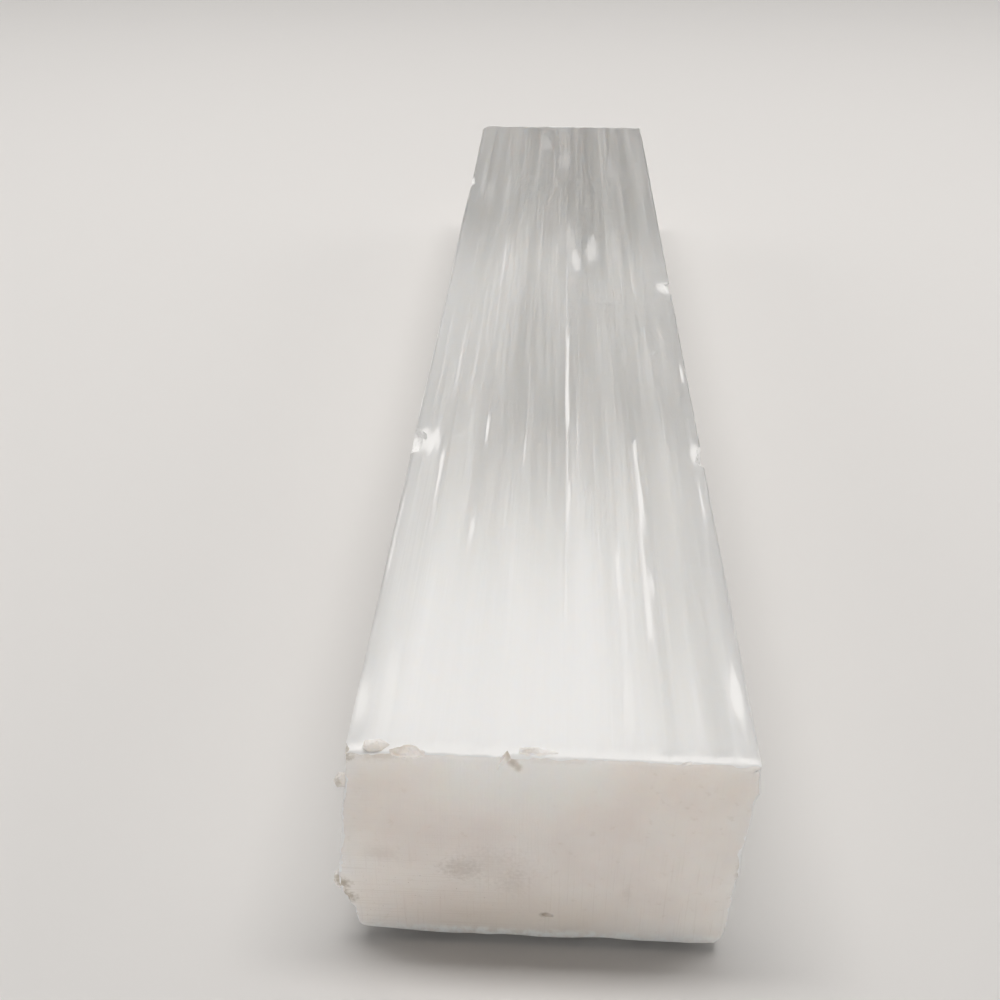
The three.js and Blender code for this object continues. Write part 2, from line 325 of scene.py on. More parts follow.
def sawn_inset(reached, distance, seed):
    """How far a ring is drawn in near a sawn end: rounded, and deeper where the edge has crumbled."""
    rounding = max(0.0, 1 - distance / SAWN_ROUNDING)
    inset = SAWN_ROUNDING * (1 - math.sqrt(1 - rounding**2))
    coarse = np.maximum(0, noise(reached / SAWN_CRUMB_WIDTH, 0, seed))
    across, along = FINE_CRUMBLE_GRAIN
    fine = np.maximum(0, noise(reached / across, distance / along, seed + SEED["fine crumble"]))
    least, most = CRUMBLE_REACH
    swing = unit_noise(reached / CRUMBLE_REACH_WIDTH, 0, seed + SEED["crumble reach"])
    reach = least + (most - least) * swing
    fade = np.clip(1 - distance / reach, 0, 1)
    return inset + (SAWN_CRUMBLE * coarse + FINE_CRUMBLE * fine) * fade


def stations():
    """Distances along the block at which rings are made, crowded at both sawn ends."""
    spaces = round((LENGTH - 2 * END_ZONE) / STATION_SPACING)
    inner = np.linspace(NEAR_END + END_ZONE, FAR_END - END_ZONE, spaces + 1)
    near = [NEAR_END] + [NEAR_END + d for d in END_STATIONS]
    far = [FAR_END - d for d in reversed(END_STATIONS)] + [FAR_END]
    return np.concatenate([near, inner, far])


def smoothed(edge):
    """A closed outline with each point moved to the mean of its neighbourhood."""
    shifts = range(-CAP_SMOOTHING, CAP_SMOOTHING + 1)
    return np.mean([np.roll(edge, shift, axis=0) for shift in shifts], axis=0)


def cap(bm, ring, y, outward):
    """Closes a sawn end with flat rings that shrink to its middle, each smoother than the last."""
    middle = np.array([0.0, HEIGHT / 2])
    edge = np.array([[v.co.x / MM, v.co.z / MM] for v in ring])
    previous = ring
    for scale in CAP_RINGS:
        edge = smoothed(edge)
        inner = middle + (edge - middle) * scale
        current = [bm.verts.new((p[0] * MM, y * MM, p[1] * MM)) for p in inner]
        bridge(bm, previous, current, outward)
        previous = current
    centre = bm.verts.new((middle[0] * MM, y * MM, middle[1] * MM))
    for a, b in zip(previous, previous[1:] + previous[:1]):
        bm.faces.new((a, b, centre) if outward < 0 else (b, a, centre))


def bridge(bm, ring, following, outward):
    """Joins two rings of the same number of points with a band of faces."""
    pairs = zip(ring, ring[1:] + ring[:1], following[1:] + following[:1], following)
    for a, b, c, d in pairs:
        bm.faces.new((a, b, c, d) if outward < 0 else (d, c, b, a))


def finished_mesh(bm, name):
    mesh = bpy.data.meshes.new(name)
    bm.to_mesh(mesh)
    bm.free()
    return mesh


def placed_object(name, data):
    obj = bpy.data.objects.new(name, data)
    bpy.context.scene.collection.objects.link(obj)
    return obj


def block_mesh():
    """The whole block before it is chipped, as one closed mesh."""
    points, normals, reached, sides = section()
    splinters = scattered_splinters()
    bm = bmesh.new()
    rings = []
    for y in stations():
        depth = relief(points, normals, reached, sides, y, splinters)
        distance = min(y - NEAR_END, FAR_END - y)
        depth = depth + sawn_inset(reached, distance, SEED["near end" if y < 0 else "far end"])
        at = points - normals * depth[:, None]
        at[:, 1] += lift(at[:, 0], at[:, 1], y)
        rings.append([bm.verts.new((x * MM, y * MM, z * MM)) for x, z in at])
    for ring, following in zip(rings, rings[1:]):
        bridge(bm, ring, following, 1)
    cap(bm, rings[0], NEAR_END, -1)
    cap(bm, rings[-1], FAR_END, 1)
    return finished_mesh(bm, "selenite")


# ---------------------------------------------------------------------------------------------------------
# Chips, crumbs and the crack.

LUMP_CUTS = 9
LUMP_ROUGHNESS = 0.055
LUMP_GRAIN = (0.45, 2.8, 0.6)  # across, along and down
LUMP_PITS = (0.6, 0.22)  # share of the roughness, and width
OCTAHEDRON = ((1, 0, 0), (0, 1, 0), (-1, 0, 0), (0, -1, 0), (0, 0, 1), (0, 0, -1))


def lump_mesh(name, at, reach, turn, seed, octahedron=False):
    """A flat-faced lump with splintery faces, given in millimetres: its place, its reach and its turn."""
    bm = bmesh.new()
    if octahedron:
        tips = [bm.verts.new(tip) for tip in OCTAHEDRON]
        for a, b in ((0, 1), (1, 2), (2, 3), (3, 0)):
            bm.faces.new((tips[a], tips[b], tips[4]))
            bm.faces.new((tips[b], tips[a], tips[5]))
    else:
        bmesh.ops.create_icosphere(bm, subdivisions=1, radius=1)
    bmesh.ops.subdivide_edges(bm, edges=bm.edges[:], cuts=LUMP_CUTS, use_grid_fill=True)
    place = Matrix.Translation(at) @ Euler([math.radians(a) for a in turn]).to_matrix().to_4x4()
    place @= Matrix.Diagonal((*reach, 1))
    across, along, down = LUMP_GRAIN
    pitting, pit = LUMP_PITS
    for vert in bm.verts:
        direction = vert.co.normalized()
        p = place @ vert.co
        rough = noise(p.x / across + p.z / down, p.y / along, seed)
        rough = rough + pitting * noise(p.x / pit, p.z / pit, seed + SEED["lump pits"])
        vert.co += direction * float(rough) * LUMP_ROUGHNESS
    bm.transform(Matrix.Scale(MM, 4) @ place)
    return finished_mesh(bm, name)


def lumps_object(name, meshes, material):
    """One object of several closed lumps, which a boolean then adds or cuts."""
    bm = bmesh.new()
    for mesh in meshes:
        bm.from_mesh(mesh)
        bpy.data.meshes.remove(mesh)
    joined = finished_mesh(bm, name)
    joined.materials.append(material)
    return placed_object(name, joined)


def carve(block, tool, operation):
    """Adds or cuts a tool object, keeps the tool's material on the new faces, and deletes the tool."""
    modifier = block.modifiers.new(tool.name, "BOOLEAN")
    modifier.operation = operation
    modifier.object = tool
    modifier.solver = "MANIFOLD"
    modifier.material_mode = "TRANSFER"
    depsgraph = bpy.context.evaluated_depsgraph_get()
    carved = bpy.data.meshes.new_from_object(block.evaluated_get(depsgraph))
    block.modifiers.clear()
    block.data = carved
    bpy.data.objects.remove(tool)


# ---------------------------------------------------------------------------------------------------------
# Materials. Textures are laid in the block's own coordinates, so fibres run on from one side to the next.
# A pair named ..._SHOWS is where a texture starts to show and where it shows fully.


def add(tree, kind, inputs=None, **settings):
    """A new node with its settings. Each input is a value, or the output socket to link to it."""
    made = tree.nodes.new(kind)
    for name, value in settings.items():
        setattr(made, name, value)
    for name, value in (inputs or {}).items():
        if isinstance(value, bpy.types.NodeSocket):
            tree.links.new(value, made.inputs[name])
        else:
            made.inputs[name].default_value = value
    return made


def maths(tree, operation, a, b=0.0, clamp=False):
    return add(tree, "ShaderNodeMath", {0: a, 1: b}, operation=operation, use_clamp=clamp).outputs[0]


def times(tree, a, b):
    return maths(tree, "MULTIPLY", a, b)


def plus(tree, a, b):
    return maths(tree, "ADD", a, b)


def ramp(tree, value, start, end, low_value=0.0, high_value=1.0):
    """A smooth step from low_value at start to high_value at end."""
    inputs = {"Value": value, "From Min": start, "From Max": end, "To Min": low_value, "To Max": high_value}
    return add(tree, "ShaderNodeMapRange", inputs, interpolation_type="SMOOTHSTEP").outputs["Result"]


def place_ramp(tree, value, span, low_value=0.0, high_value=1.0):
    """The same for a place on the block, between the two ends of a span in millimetres."""
    return ramp(tree, value, span[0] * MM, span[1] * MM, low_value, high_value)


def blend_colour(tree, factor, a, b):
    made = add(tree, "ShaderNodeMix", {0: factor}, data_type="RGBA")
    for socket, colour in ((made.inputs[6], a), (made.inputs[7], b)):
        if isinstance(colour, bpy.types.NodeSocket):
            tree.links.new(colour, socket)
        else:
            socket.default_value = (*colour, 1)
    return made.outputs[2]


def grain(tree, place, across, along, up=None, detail=2.0):
    """Noise whose grain is so many millimetres across, along and up the block."""
    up = up or across
    scale = (1 / (across * MM), 1 / (along * MM), 1 / (up * MM))
    mapping = add(tree, "ShaderNodeMapping", {"Vector": place, "Scale": scale})
    inputs = {"Vector": mapping.outputs[0], "Scale": 1.0, "Detail": detail}
    return add(tree, "ShaderNodeTexNoise", inputs).outputs["Fac"]


def new_material(name):
    """An empty material, its tree and its output, and the object's coordinates as a vector and apart."""
    material = bpy.data.materials.new(name)
    material.use_nodes = True
    tree = material.node_tree
    tree.nodes.clear()
    output = add(tree, "ShaderNodeOutputMaterial")
    place = add(tree, "ShaderNodeTexCoord").outputs["Object"]
    xyz = add(tree, "ShaderNodeSeparateXYZ", {0: place})
    return material, tree, output, place, xyz.outputs


def surface_normal(tree):
    """The surface's own normal as x, y and z."""
    normal = add(tree, "ShaderNodeNewGeometry").outputs["Normal"]
    return add(tree, "ShaderNodeSeparateXYZ", {0: normal}).outputs


def distance_from(tree, value, middle):
    return maths(tree, "ABSOLUTE", plus(tree, value, -middle * MM))


def vary(tree, value, texture, amount):
    """The value, raised and lowered by so much in all as the texture runs from 0 to 1."""
    return plus(tree, value, times(tree, maths(tree, "SUBTRACT", texture, 0.5), amount))


SMUDGE_EDGE = (0.1, 1.0)


def smudge(tree, place, at, reach, texture, raggedness):
    """A soft spot: 1 at its middle and 0 past its reach, both in millimetres, with a ragged edge."""
    offset = add(tree, "ShaderNodeVectorMath", {0: place, 1: [c * MM for c in at]}, operation="SUBTRACT")
    scale = [1 / (r * MM) for r in reach]
    scaled = add(tree, "ShaderNodeVectorMath", {0: offset.outputs[0], 1: scale}, operation="MULTIPLY")
    length = add(tree, "ShaderNodeVectorMath", {0: scaled.outputs[0]}, operation="LENGTH").outputs["Value"]
    return ramp(tree, vary(tree, length, texture, raggedness), *SMUDGE_EDGE, 1.0, 0.0)


def stone_shader(tree, output, height, bump, inputs):
    """Gypsum's surface, with a bump given as its depth in millimetres and its strength."""
    depth, strength = bump
    bumped = add(tree, "ShaderNodeBump", {"Height": height, "Distance": depth * MM, "Strength": strength})
    settings = {"IOR": GYPSUM_IOR, "Subsurface Scale": 1.0, "Normal": bumped.outputs[0]}
    shader = add(tree, "ShaderNodeBsdfPrincipled", {**settings, **inputs})
    tree.links.new(shader.outputs[0], output.inputs["Surface"])


GYPSUM_IOR = 1.52

# The body: colours of its clear and milky parts, of white flaws and painted glints, and of a gap between
# fibres on the sides.
CLEAR_STONE = (0.86, 0.855, 0.84)
MILKY_STONE = (0.955, 0.945, 0.925)
FLAW_AND_GLINT_WHITE = (0.985, 0.98, 0.97)
FIBRE_GAP = (0.70, 0.69, 0.67)

# Grains of its textures, across and along the fibres, and the detail of the finer ones.
VEIL_GRAIN = (9, 75)
BAND_GRAIN = (3.2, 90)
FIBRE_GRAIN = (0.32, 42)
SPLIT_GRAIN = (0.6, 26)
GAP_GRAIN = (0.45, 34)
NICK_GRAIN = (0.9, 9)
RIM_GRAIN = (1.5, 8)
FINE_DETAIL = 3.0

# How milky the body is along the block, partly painted sheen that whitens the near end: between two places
# it falls smoothly, by so much.
MILK_AND_SHEEN_NEAR = 0.97
MILK_AND_SHEEN_FALLS = [(-124, -44, 0.50), (-10, 10, -0.02), (0, 58, 0.20)]
# Lanes along it that differ: where each starts and is full across the block, where along it, and the milk
# that it adds at either. The second pair is placed by distance from the milk's own middle line.
SIDE_LANES = [
    ((-5, -19), (-110, 20), (0.0, 0.20)),
    ((2, 14), (-100, 100), (0.03, 0.20)),
]
MILK_MIDDLE = -4.0
MIDDLE_LANES = [
    ((7, 23), (-60, -110), (-0.03, -0.27)),
    ((13, 6), (-50, 56), (0.0, 0.15)),
]
# How much the veil and the bands vary it, and what single fibres add.
VEIL_SWING = 0.14
BAND_SWING = 0.26
FIBRE_SHOWS = (0.42, 0.78)
FIBRE_MILK = (-0.03, 0.10)

# White marks: the rim at a sawn end, the nicks along the top arrises, and the splits.
RIM_REACH = 4.0
RIM_EDGE = (0.3, 1.1)
NICK_SHOWS = (0.50, 0.66)
NICK_WHITE = 0.75
SPLIT_SHOWS = (0.62, 0.80)
SPLIT_WHITE = 0.62

# Gaps between fibres: how upright a side is where they show, and how strong they are.
GAP_UPRIGHT = (0.6, 0.9)
GAP_SHOWS = (0.52, 0.68)
GAP_STRENGTH = 0.5

# How clear and how rough the body is from clear to white, and what single fibres add to the roughness.
TRANSMISSION = (0.94, 0.03)
ROUGHNESS_SPAN = (0.2, 1.0)
ROUGHNESS = (0.28, 0.38)
FIBRE_ROUGHNESS_SPAN = (0.3, 0.7)
FIBRE_ROUGHNESS = 0.06
SHEEN_ALONG_FIBRES = 0.45

# Light scattered inside, which the white marks stop, and the bump of fibres, splits and streaks.
SCATTER_SPAN = (0.15, 0.8)
SCATTER = (0.9, 0.1)
SCATTER_REACH = (0.009, 0.0085, 0.008)
FIBRE_BUMP = 0.8
STREAK_BUMP = 1.5
BODY_BUMP = (0.04, 0.5)
HAZE_COLOUR = (0.90, 0.90, 0.86)
HAZE_DENSITY = 5.0


def body_milk_and_sheen(tree, place, x, y, fibres):
    """How milky the body is, from 0 to 1, with painted sheen in its fall along the block."""
    milk_and_sheen = MILK_AND_SHEEN_NEAR
    # These falls are partly painted light and shade: a whiter near end and a greyer far end.
    for start, end, fall in MILK_AND_SHEEN_FALLS:
        milk_and_sheen = maths(tree, "SUBTRACT", milk_and_sheen, place_ramp(tree, y, (start, end), 0.0, fall))
    off_middle = distance_from(tree, x, MILK_MIDDLE)
    for across, lanes in ((x, SIDE_LANES), (off_middle, MIDDLE_LANES)):
        for across_span, along_span, added in lanes:
            along = place_ramp(tree, y, along_span, *added)
            milk_and_sheen = plus(tree, milk_and_sheen, times(tree, place_ramp(tree, across, across_span), along))
    milk_and_sheen = vary(tree, milk_and_sheen, grain(tree, place, *VEIL_GRAIN), VEIL_SWING)
    milk_and_sheen = vary(tree, milk_and_sheen, grain(tree, place, *BAND_GRAIN), BAND_SWING)
    return maths(tree, "ADD", milk_and_sheen, ramp(tree, fibres, *FIBRE_SHOWS, *FIBRE_MILK), clamp=True)


def white_marks(tree, place, y, flaw_and_glint, splits):
    """Where the body is broken and white, and where glints are painted, from 0 to 1."""
    from_end = maths(tree, "SUBTRACT", LENGTH / 2 * MM, maths(tree, "ABSOLUTE", y))
    rim_reach = times(tree, grain(tree, place, *RIM_GRAIN), RIM_REACH * MM)
    rim = ramp(tree, maths(tree, "DIVIDE", from_end, rim_reach), *RIM_EDGE, 1.0, 0.0)
    arris = add(tree, "ShaderNodeAttribute", attribute_name="arris").outputs["Fac"]
    nicks = grain(tree, place, *NICK_GRAIN, detail=FINE_DETAIL)
    bruises = times(tree, arris, ramp(tree, nicks, *NICK_SHOWS, 0.0, NICK_WHITE))
    marks = flaw_and_glint
    for others in (bruises, rim, ramp(tree, splits, *SPLIT_SHOWS, 0.0, SPLIT_WHITE)):
        marks = maths(tree, "MAXIMUM", marks, others)
    return marks


def satin_spar():
    """The fibrous body: milky and whitened by painted sheen at the near end, clearer and greyer beyond, with
    white flaws along the fibres and painted glints.
    """
    material, tree, output, place, (x, y, _) = new_material("satin_spar")
    fibres = grain(tree, place, *FIBRE_GRAIN)
    splits = grain(tree, place, *SPLIT_GRAIN, detail=FINE_DETAIL)
    # The white flaws of the top, with painted glints among them.
    flaw_and_glint = add(tree, "ShaderNodeAttribute", attribute_name="flaw_and_glint").outputs["Fac"]
    marks = white_marks(tree, place, y, flaw_and_glint, splits)
    white = maths(tree, "MAXIMUM", body_milk_and_sheen(tree, place, x, y, fibres), marks)

    colour = blend_colour(tree, white, CLEAR_STONE, MILKY_STONE)
    colour = blend_colour(tree, marks, colour, FLAW_AND_GLINT_WHITE)
    upright = ramp(tree, maths(tree, "ABSOLUTE", surface_normal(tree)["X"]), *GAP_UPRIGHT)
    gaps = ramp(tree, grain(tree, place, *GAP_GRAIN, detail=FINE_DETAIL), *GAP_SHOWS, 0.0, GAP_STRENGTH)
    colour = blend_colour(tree, times(tree, upright, gaps), colour, FIBRE_GAP)

    along_fibres = add(tree, "ShaderNodeTangent", direction_type="RADIAL", axis="Y")
    fibre_roughness = ramp(tree, fibres, *FIBRE_ROUGHNESS_SPAN, 0.0, FIBRE_ROUGHNESS)
    height = plus(tree, times(tree, fibres, FIBRE_BUMP), splits)
    height = plus(tree, height, times(tree, flaw_and_glint, STREAK_BUMP))
    stone_shader(tree, output, height, BODY_BUMP, {
        "Base Color": colour,
        "Roughness": plus(tree, fibre_roughness, ramp(tree, white, *ROUGHNESS_SPAN, *ROUGHNESS)),
        "Transmission Weight": ramp(tree, white, 0.0, 1.0, *TRANSMISSION),
        "Anisotropic": SHEEN_ALONG_FIBRES,
        "Tangent": along_fibres.outputs[0],
        "Subsurface Weight": ramp(tree, marks, *SCATTER_SPAN, *SCATTER),
        "Subsurface Radius": SCATTER_REACH,
    })
    haze = add(tree, "ShaderNodeVolumeAbsorption", {"Color": (*HAZE_COLOUR, 1), "Density": HAZE_DENSITY})
    tree.links.new(haze.outputs[0], output.inputs["Volume"])
    return material


# The sawn ends: colours of the chalk, of what darkens it, and of what whitens it, with painted shade and
# painted light among them.
CHALK_DARK = (0.86, 0.80, 0.755)
CHALK_LIGHT = (0.905, 0.86, 0.82)
SAW_LINE = (0.60, 0.52, 0.45)
MOTTLE = (0.66, 0.58, 0.50)
# The dull brown is painted shade, the pale one painted light and the bleached one a painted highlight.
BOTTOM_SHADE = (0.62, 0.52, 0.42)
STAIN = (0.40, 0.34, 0.27)
SPECK = (0.42, 0.35, 0.28)
TOP_LIGHT = (0.99, 0.945, 0.915)
UPTURN_HIGHLIGHT = (0.95, 0.94, 0.92)
LOWER_RIM = (0.92, 0.91, 0.86)

# Grains of their textures: across, along, and up where that differs.
CLOUD_GRAIN = (8, 8)
MOTTLE_GRAIN = (1.1, 1.1)
DUST_GRAIN = (0.25, 0.25)
SAW_ACROSS_GRAIN = (16, 1, 0.17)
SAW_DOWN_GRAIN = (0.24, 1, 10)
PORE_GRAIN = (0.5, 0.5)
PORE_DETAIL = 4.0

# Saw lines: how each set shows, on which side and at which levels, and how strong they are.
SAW_ACROSS_SHOWS = (0.52, 0.68)
SAW_ACROSS_SIDE = (6, -10)
SAW_DOWN_SHOWS = (0.55, 0.72)
SAW_DOWN_STRENGTH = 0.8
SAW_LEVELS = (20, 9)
SAW_STRENGTH = (0.05, 0.22)

# The broad change from one chalk to the other, and the mottling.
CLOUD_SHOWS = (0.3, 0.7)
MOTTLE_SHOWS = (0.62, 0.78)
MOTTLE_STRENGTH = 0.25

# The painted shade at the bottom middle and the painted light at the top middle: levels, distances from the
# face's own middle line, and strength in the middle and away from it.
FACE_MIDDLE = -2.0
BOTTOM_SHADE_LEVELS = (14, 3)
BOTTOM_SHADE_REACH = (4, 20)
BOTTOM_SHADE_STRENGTH = (0.50, 0.10)
TOP_LIGHT_LEVELS = (18, 29)
TOP_LIGHT_REACH = (4, 18)
TOP_LIGHT_STRENGTH = (0.9, 0.0)

# Painted highlight on the upturned edge on the right: how far it faces up, where across, and how strongly.
UPTURN_HIGHLIGHT_FACING = (0.4, 0.9)
UPTURN_HIGHLIGHT_SIDE = (7, 11)
UPTURN_HIGHLIGHT_STRENGTH = 0.6

# Specks: how they show, how strong they are, and where across and how low down they lie.
SPECK_SHOWS = (0.66, 0.73)
SPECK_STRENGTH = 0.55
SPECK_SIDE = (8, -12)
SPECK_LEVELS = (20.5, 9.5)

# The paler rim along the base: its levels, how the mottling breaks it, and its strength.
LOWER_RIM_LEVELS = (3.0, 1.8)
LOWER_RIM_BREAKS = (0.35, 0.65)
LOWER_RIM_STRENGTH = (0.1, 0.75)

# The bump of the lines and the dust, the roughness, and the light scattered inside.
SAW_ACROSS_BUMP = 0.5
SAW_DOWN_BUMP = 0.35
DUST_BUMP = 0.4
SAWN_BUMP = (0.12, 0.6)
SAWN_ROUGHNESS_SPAN = (0.2, 0.8)
SAWN_ROUGHNESS = (0.72, 0.9)
SAWN_SCATTER = 0.8
SAWN_SCATTER_REACH = (0.008, 0.007, 0.006)

# Darker spots on the near sawn end: place across and up, reach across and up, strength, and raggedness.
SMUDGES = [
    (-8.9, 12.9, 3.4, 2.4, 0.24, 1.5),
    (-5.4, 13.3, 7.0, 4.6, 0.15, 1.5),
    (-18.0, 15.0, 3.0, 1.6, 0.12, 1.5),
    (-2.6, 10.6, 2.4, 3.4, 0.12, 1.5),
    (1.0, 5.2, 1.0, 0.6, 0.62, 0.8),
    (10.7, 9.8, 0.7, 2.0, 0.10, 1.5),
    (-23.2, 9.5, 1.6, 1.5, 0.85, 1.5),
    (-22.6, 7.1, 1.6, 1.4, 0.80, 1.5),
    (-22.6, 25.7, 1.2, 1.8, 0.70, 1.5),
    (-21.3, 30.8, 1.5, 1.6, 0.65, 1.5),
    (-17.2, 31.4, 5.4, 1.8, 0.26, 1.0),
    (-15.6, 31.6, 1.2, 0.7, 0.35, 1.0),
    (-3.5, 31.3, 1.0, 1.0, 0.62, 0.5),
    (-2.9, 30.5, 0.8, 0.9, 0.62, 0.5),
    (-2.3, 29.8, 0.7, 0.9, 0.50, 0.5),
    (-1.6, 31.9, 2.2, 0.45, 0.60, 0.6),
    (2.0, 31.2, 6.4, 0.9, 0.16, 1.0),
    (24.0, 21.5, 0.6, 2.4, 0.5, 2.0),
    (23.2, 14.0, 0.5, 2.2, 0.4, 2.0),
]
SMUDGE_DEPTH = 3.0


def sawn_face():
    """The chalky sawn ends: fine saw lines both ways, mottling, specks, a paler rim along the base, painted
    light at the top middle and on the upturned right edge, and painted shade at the bottom middle.
    """
    material, tree, output, place, (x, _, z) = new_material("sawn_face")
    cloud = grain(tree, place, *CLOUD_GRAIN, detail=FINE_DETAIL)
    mottle = grain(tree, place, *MOTTLE_GRAIN, detail=FINE_DETAIL)
    dust = grain(tree, place, *DUST_GRAIN)
    saw_across = grain(tree, place, *SAW_ACROSS_GRAIN)
    saw_down = grain(tree, place, *SAW_DOWN_GRAIN)
    off_middle = distance_from(tree, x, FACE_MIDDLE)

    colour = blend_colour(tree, ramp(tree, cloud, *CLOUD_SHOWS), CHALK_DARK, CHALK_LIGHT)
    lines = times(tree, ramp(tree, saw_across, *SAW_ACROSS_SHOWS), place_ramp(tree, x, SAW_ACROSS_SIDE))
    down_lines = times(tree, ramp(tree, saw_down, *SAW_DOWN_SHOWS), SAW_DOWN_STRENGTH)
    lines = maths(tree, "MAXIMUM", lines, down_lines)
    lines = times(tree, lines, place_ramp(tree, z, SAW_LEVELS, *SAW_STRENGTH))
    colour = blend_colour(tree, lines, colour, SAW_LINE)
    colour = blend_colour(tree, ramp(tree, mottle, *MOTTLE_SHOWS, 0.0, MOTTLE_STRENGTH), colour, MOTTLE)
    # Painted shade: darker towards the bottom middle of the face.
    bottom_shade = place_ramp(tree, off_middle, BOTTOM_SHADE_REACH, *BOTTOM_SHADE_STRENGTH)
    colour = blend_colour(tree, times(tree, place_ramp(tree, z, BOTTOM_SHADE_LEVELS), bottom_shade), colour, BOTTOM_SHADE)
    # Painted light: paler towards the top middle of the face.
    pale = place_ramp(tree, off_middle, TOP_LIGHT_REACH, *TOP_LIGHT_STRENGTH)
    colour = blend_colour(tree, times(tree, place_ramp(tree, z, TOP_LIGHT_LEVELS), pale), colour, TOP_LIGHT)
    # Painted highlight where the face turns up, on the right.
    upturn_highlight = ramp(tree, surface_normal(tree)["Z"], *UPTURN_HIGHLIGHT_FACING, 0.0, UPTURN_HIGHLIGHT_STRENGTH)
    upturn_highlight = times(tree, upturn_highlight, place_ramp(tree, x, UPTURN_HIGHLIGHT_SIDE))
    colour = blend_colour(tree, upturn_highlight, colour, UPTURN_HIGHLIGHT)

    pores = grain(tree, place, *PORE_GRAIN, detail=PORE_DETAIL)
    for across, up, reach_across, reach_up, strength, raggedness in SMUDGES:
        reach = (reach_across, SMUDGE_DEPTH, reach_up)
        spot = smudge(tree, place, (across, NEAR_END, up), reach, pores, raggedness)
        colour = blend_colour(tree, times(tree, spot, strength), colour, STAIN)
    lower_left = times(tree, place_ramp(tree, x, SPECK_SIDE), place_ramp(tree, z, SPECK_LEVELS))
    specks = times(tree, ramp(tree, dust, *SPECK_SHOWS, 0.0, SPECK_STRENGTH), lower_left)
    colour = blend_colour(tree, specks, colour, SPECK)
    broken = ramp(tree, mottle, *LOWER_RIM_BREAKS, *LOWER_RIM_STRENGTH)
    rim = times(tree, place_ramp(tree, z, LOWER_RIM_LEVELS), broken)
    colour = blend_colour(tree, rim, colour, LOWER_RIM)

    height = plus(tree, times(tree, saw_across, SAW_ACROSS_BUMP), times(tree, saw_down, SAW_DOWN_BUMP))
    height = plus(tree, height, times(tree, dust, DUST_BUMP))
    stone_shader(tree, output, height, SAWN_BUMP, {
        "Base Color": colour,
        "Roughness": ramp(tree, mottle, *SAWN_ROUGHNESS_SPAN, *SAWN_ROUGHNESS),
        "Subsurface Weight": SAWN_SCATTER,
        "Subsurface Radius": SAWN_SCATTER_REACH,
    })
    return material


# Fresh breaks: two whites, the grains of the splinters and of the glints, their bump, and their gloss.
BREAK_WHITES = ((0.94, 0.935, 0.92), (0.985, 0.98, 0.97))
SPLINTER_GRAIN = (0.3, 2.2)
SPLINTER_SHOWS = (0.3, 0.7)
GLINT_GRAIN = (0.35, 0.7)
GLINT_SHOWS = (0.55, 0.68)
BREAK_ROUGHNESS = (0.45, 0.10)
BREAK_BUMP = (0.06, 0.7)
BREAK_SCATTER = 0.3
BREAK_SCATTER_REACH = (0.004, 0.004, 0.004)


def fresh_break():
    """Chips: bright splintery facets that glint."""
    material, tree, output, place, _ = new_material("fresh_break")
    splinters = grain(tree, place, *SPLINTER_GRAIN)
    glints = grain(tree, place, *GLINT_GRAIN)
    stone_shader(tree, output, splinters, BREAK_BUMP, {
        "Base Color": blend_colour(tree, ramp(tree, splinters, *SPLINTER_SHOWS), *BREAK_WHITES),
        "Roughness": ramp(tree, glints, *GLINT_SHOWS, *BREAK_ROUGHNESS),
        "Subsurface Weight": BREAK_SCATTER,
        "Subsurface Radius": BREAK_SCATTER_REACH,
    })
    return material


# White flaws and painted glints in the top. They are placed as the chips are, before the block is centred on
# its box.
# Streaks: place across, start and end along the block, half width, and strength.
STREAKS = [
    (13.3, -84, -54, 0.42, 0.95),
    (12.9, -108, -76, 0.48, 1.0),
    (13.6, -99, -88, 0.64, 0.85),
    (9.5, -112, -83, 0.28, 0.95),
    (9.7, -124, -108, 0.46, 0.95),
    (2.6, -104, 34, 0.16, 0.82),
    (2.9, -86, -66, 0.30, 1.0),
    (2.8, -56, -16, 0.32, 0.95),
    (3.9, -40, -22, 0.20, 0.55),
    (-10.7, -25, 30, 0.24, 0.80),
    (-9.9, -61, -46, 0.26, 0.95),
    (-10.5, -88, -76, 0.30, 0.95),
    (-16.4, -84, -58, 0.28, 0.90),
    (-16.2, -45, -12, 0.30, 0.72),
    (-13.5, -40, 8, 0.18, 0.65),
    (-20.9, -96, -70, 0.28, 0.90),
    (-3.8, -69, -27, 0.14, 0.75),
    (4.3, -80, -25, 0.12, 0.70),
    (6.3, -88, -70, 0.24, 0.70),
    (-5.3, -78, -66, 0.20, 0.75),
    (5.4, -76, -68, 0.20, 0.75),
    (-10.6, -12, -3, 0.26, 0.85),
    (-23.2, -69, -47, 0.30, 0.90),
    (22.7, -38, -27, 0.42, 0.95),
    (22.1, -80, -66, 0.30, 0.90),
    (-17.8, -124, -106, 0.60, 0.80),
    (17.5, -124, -112, 0.50, 0.80),
]
# How far a streak wanders and how much its width swells, each with the length over which that changes. Its
# edge, in shares of its half width. How far beyond and short of its ends it tapers. How strong it is on the
# whole, and how much it is broken, over what length and width.
STREAK_WANDER = (0.18, 21)
STREAK_SWELL = (0.35, 9)
STREAK_EDGE = (0.6, 1.5)
STREAK_TAPER = (2, 5)
STREAK_MEAN = 0.92
STREAK_BREAKS = (0.25, 6, 0.5)

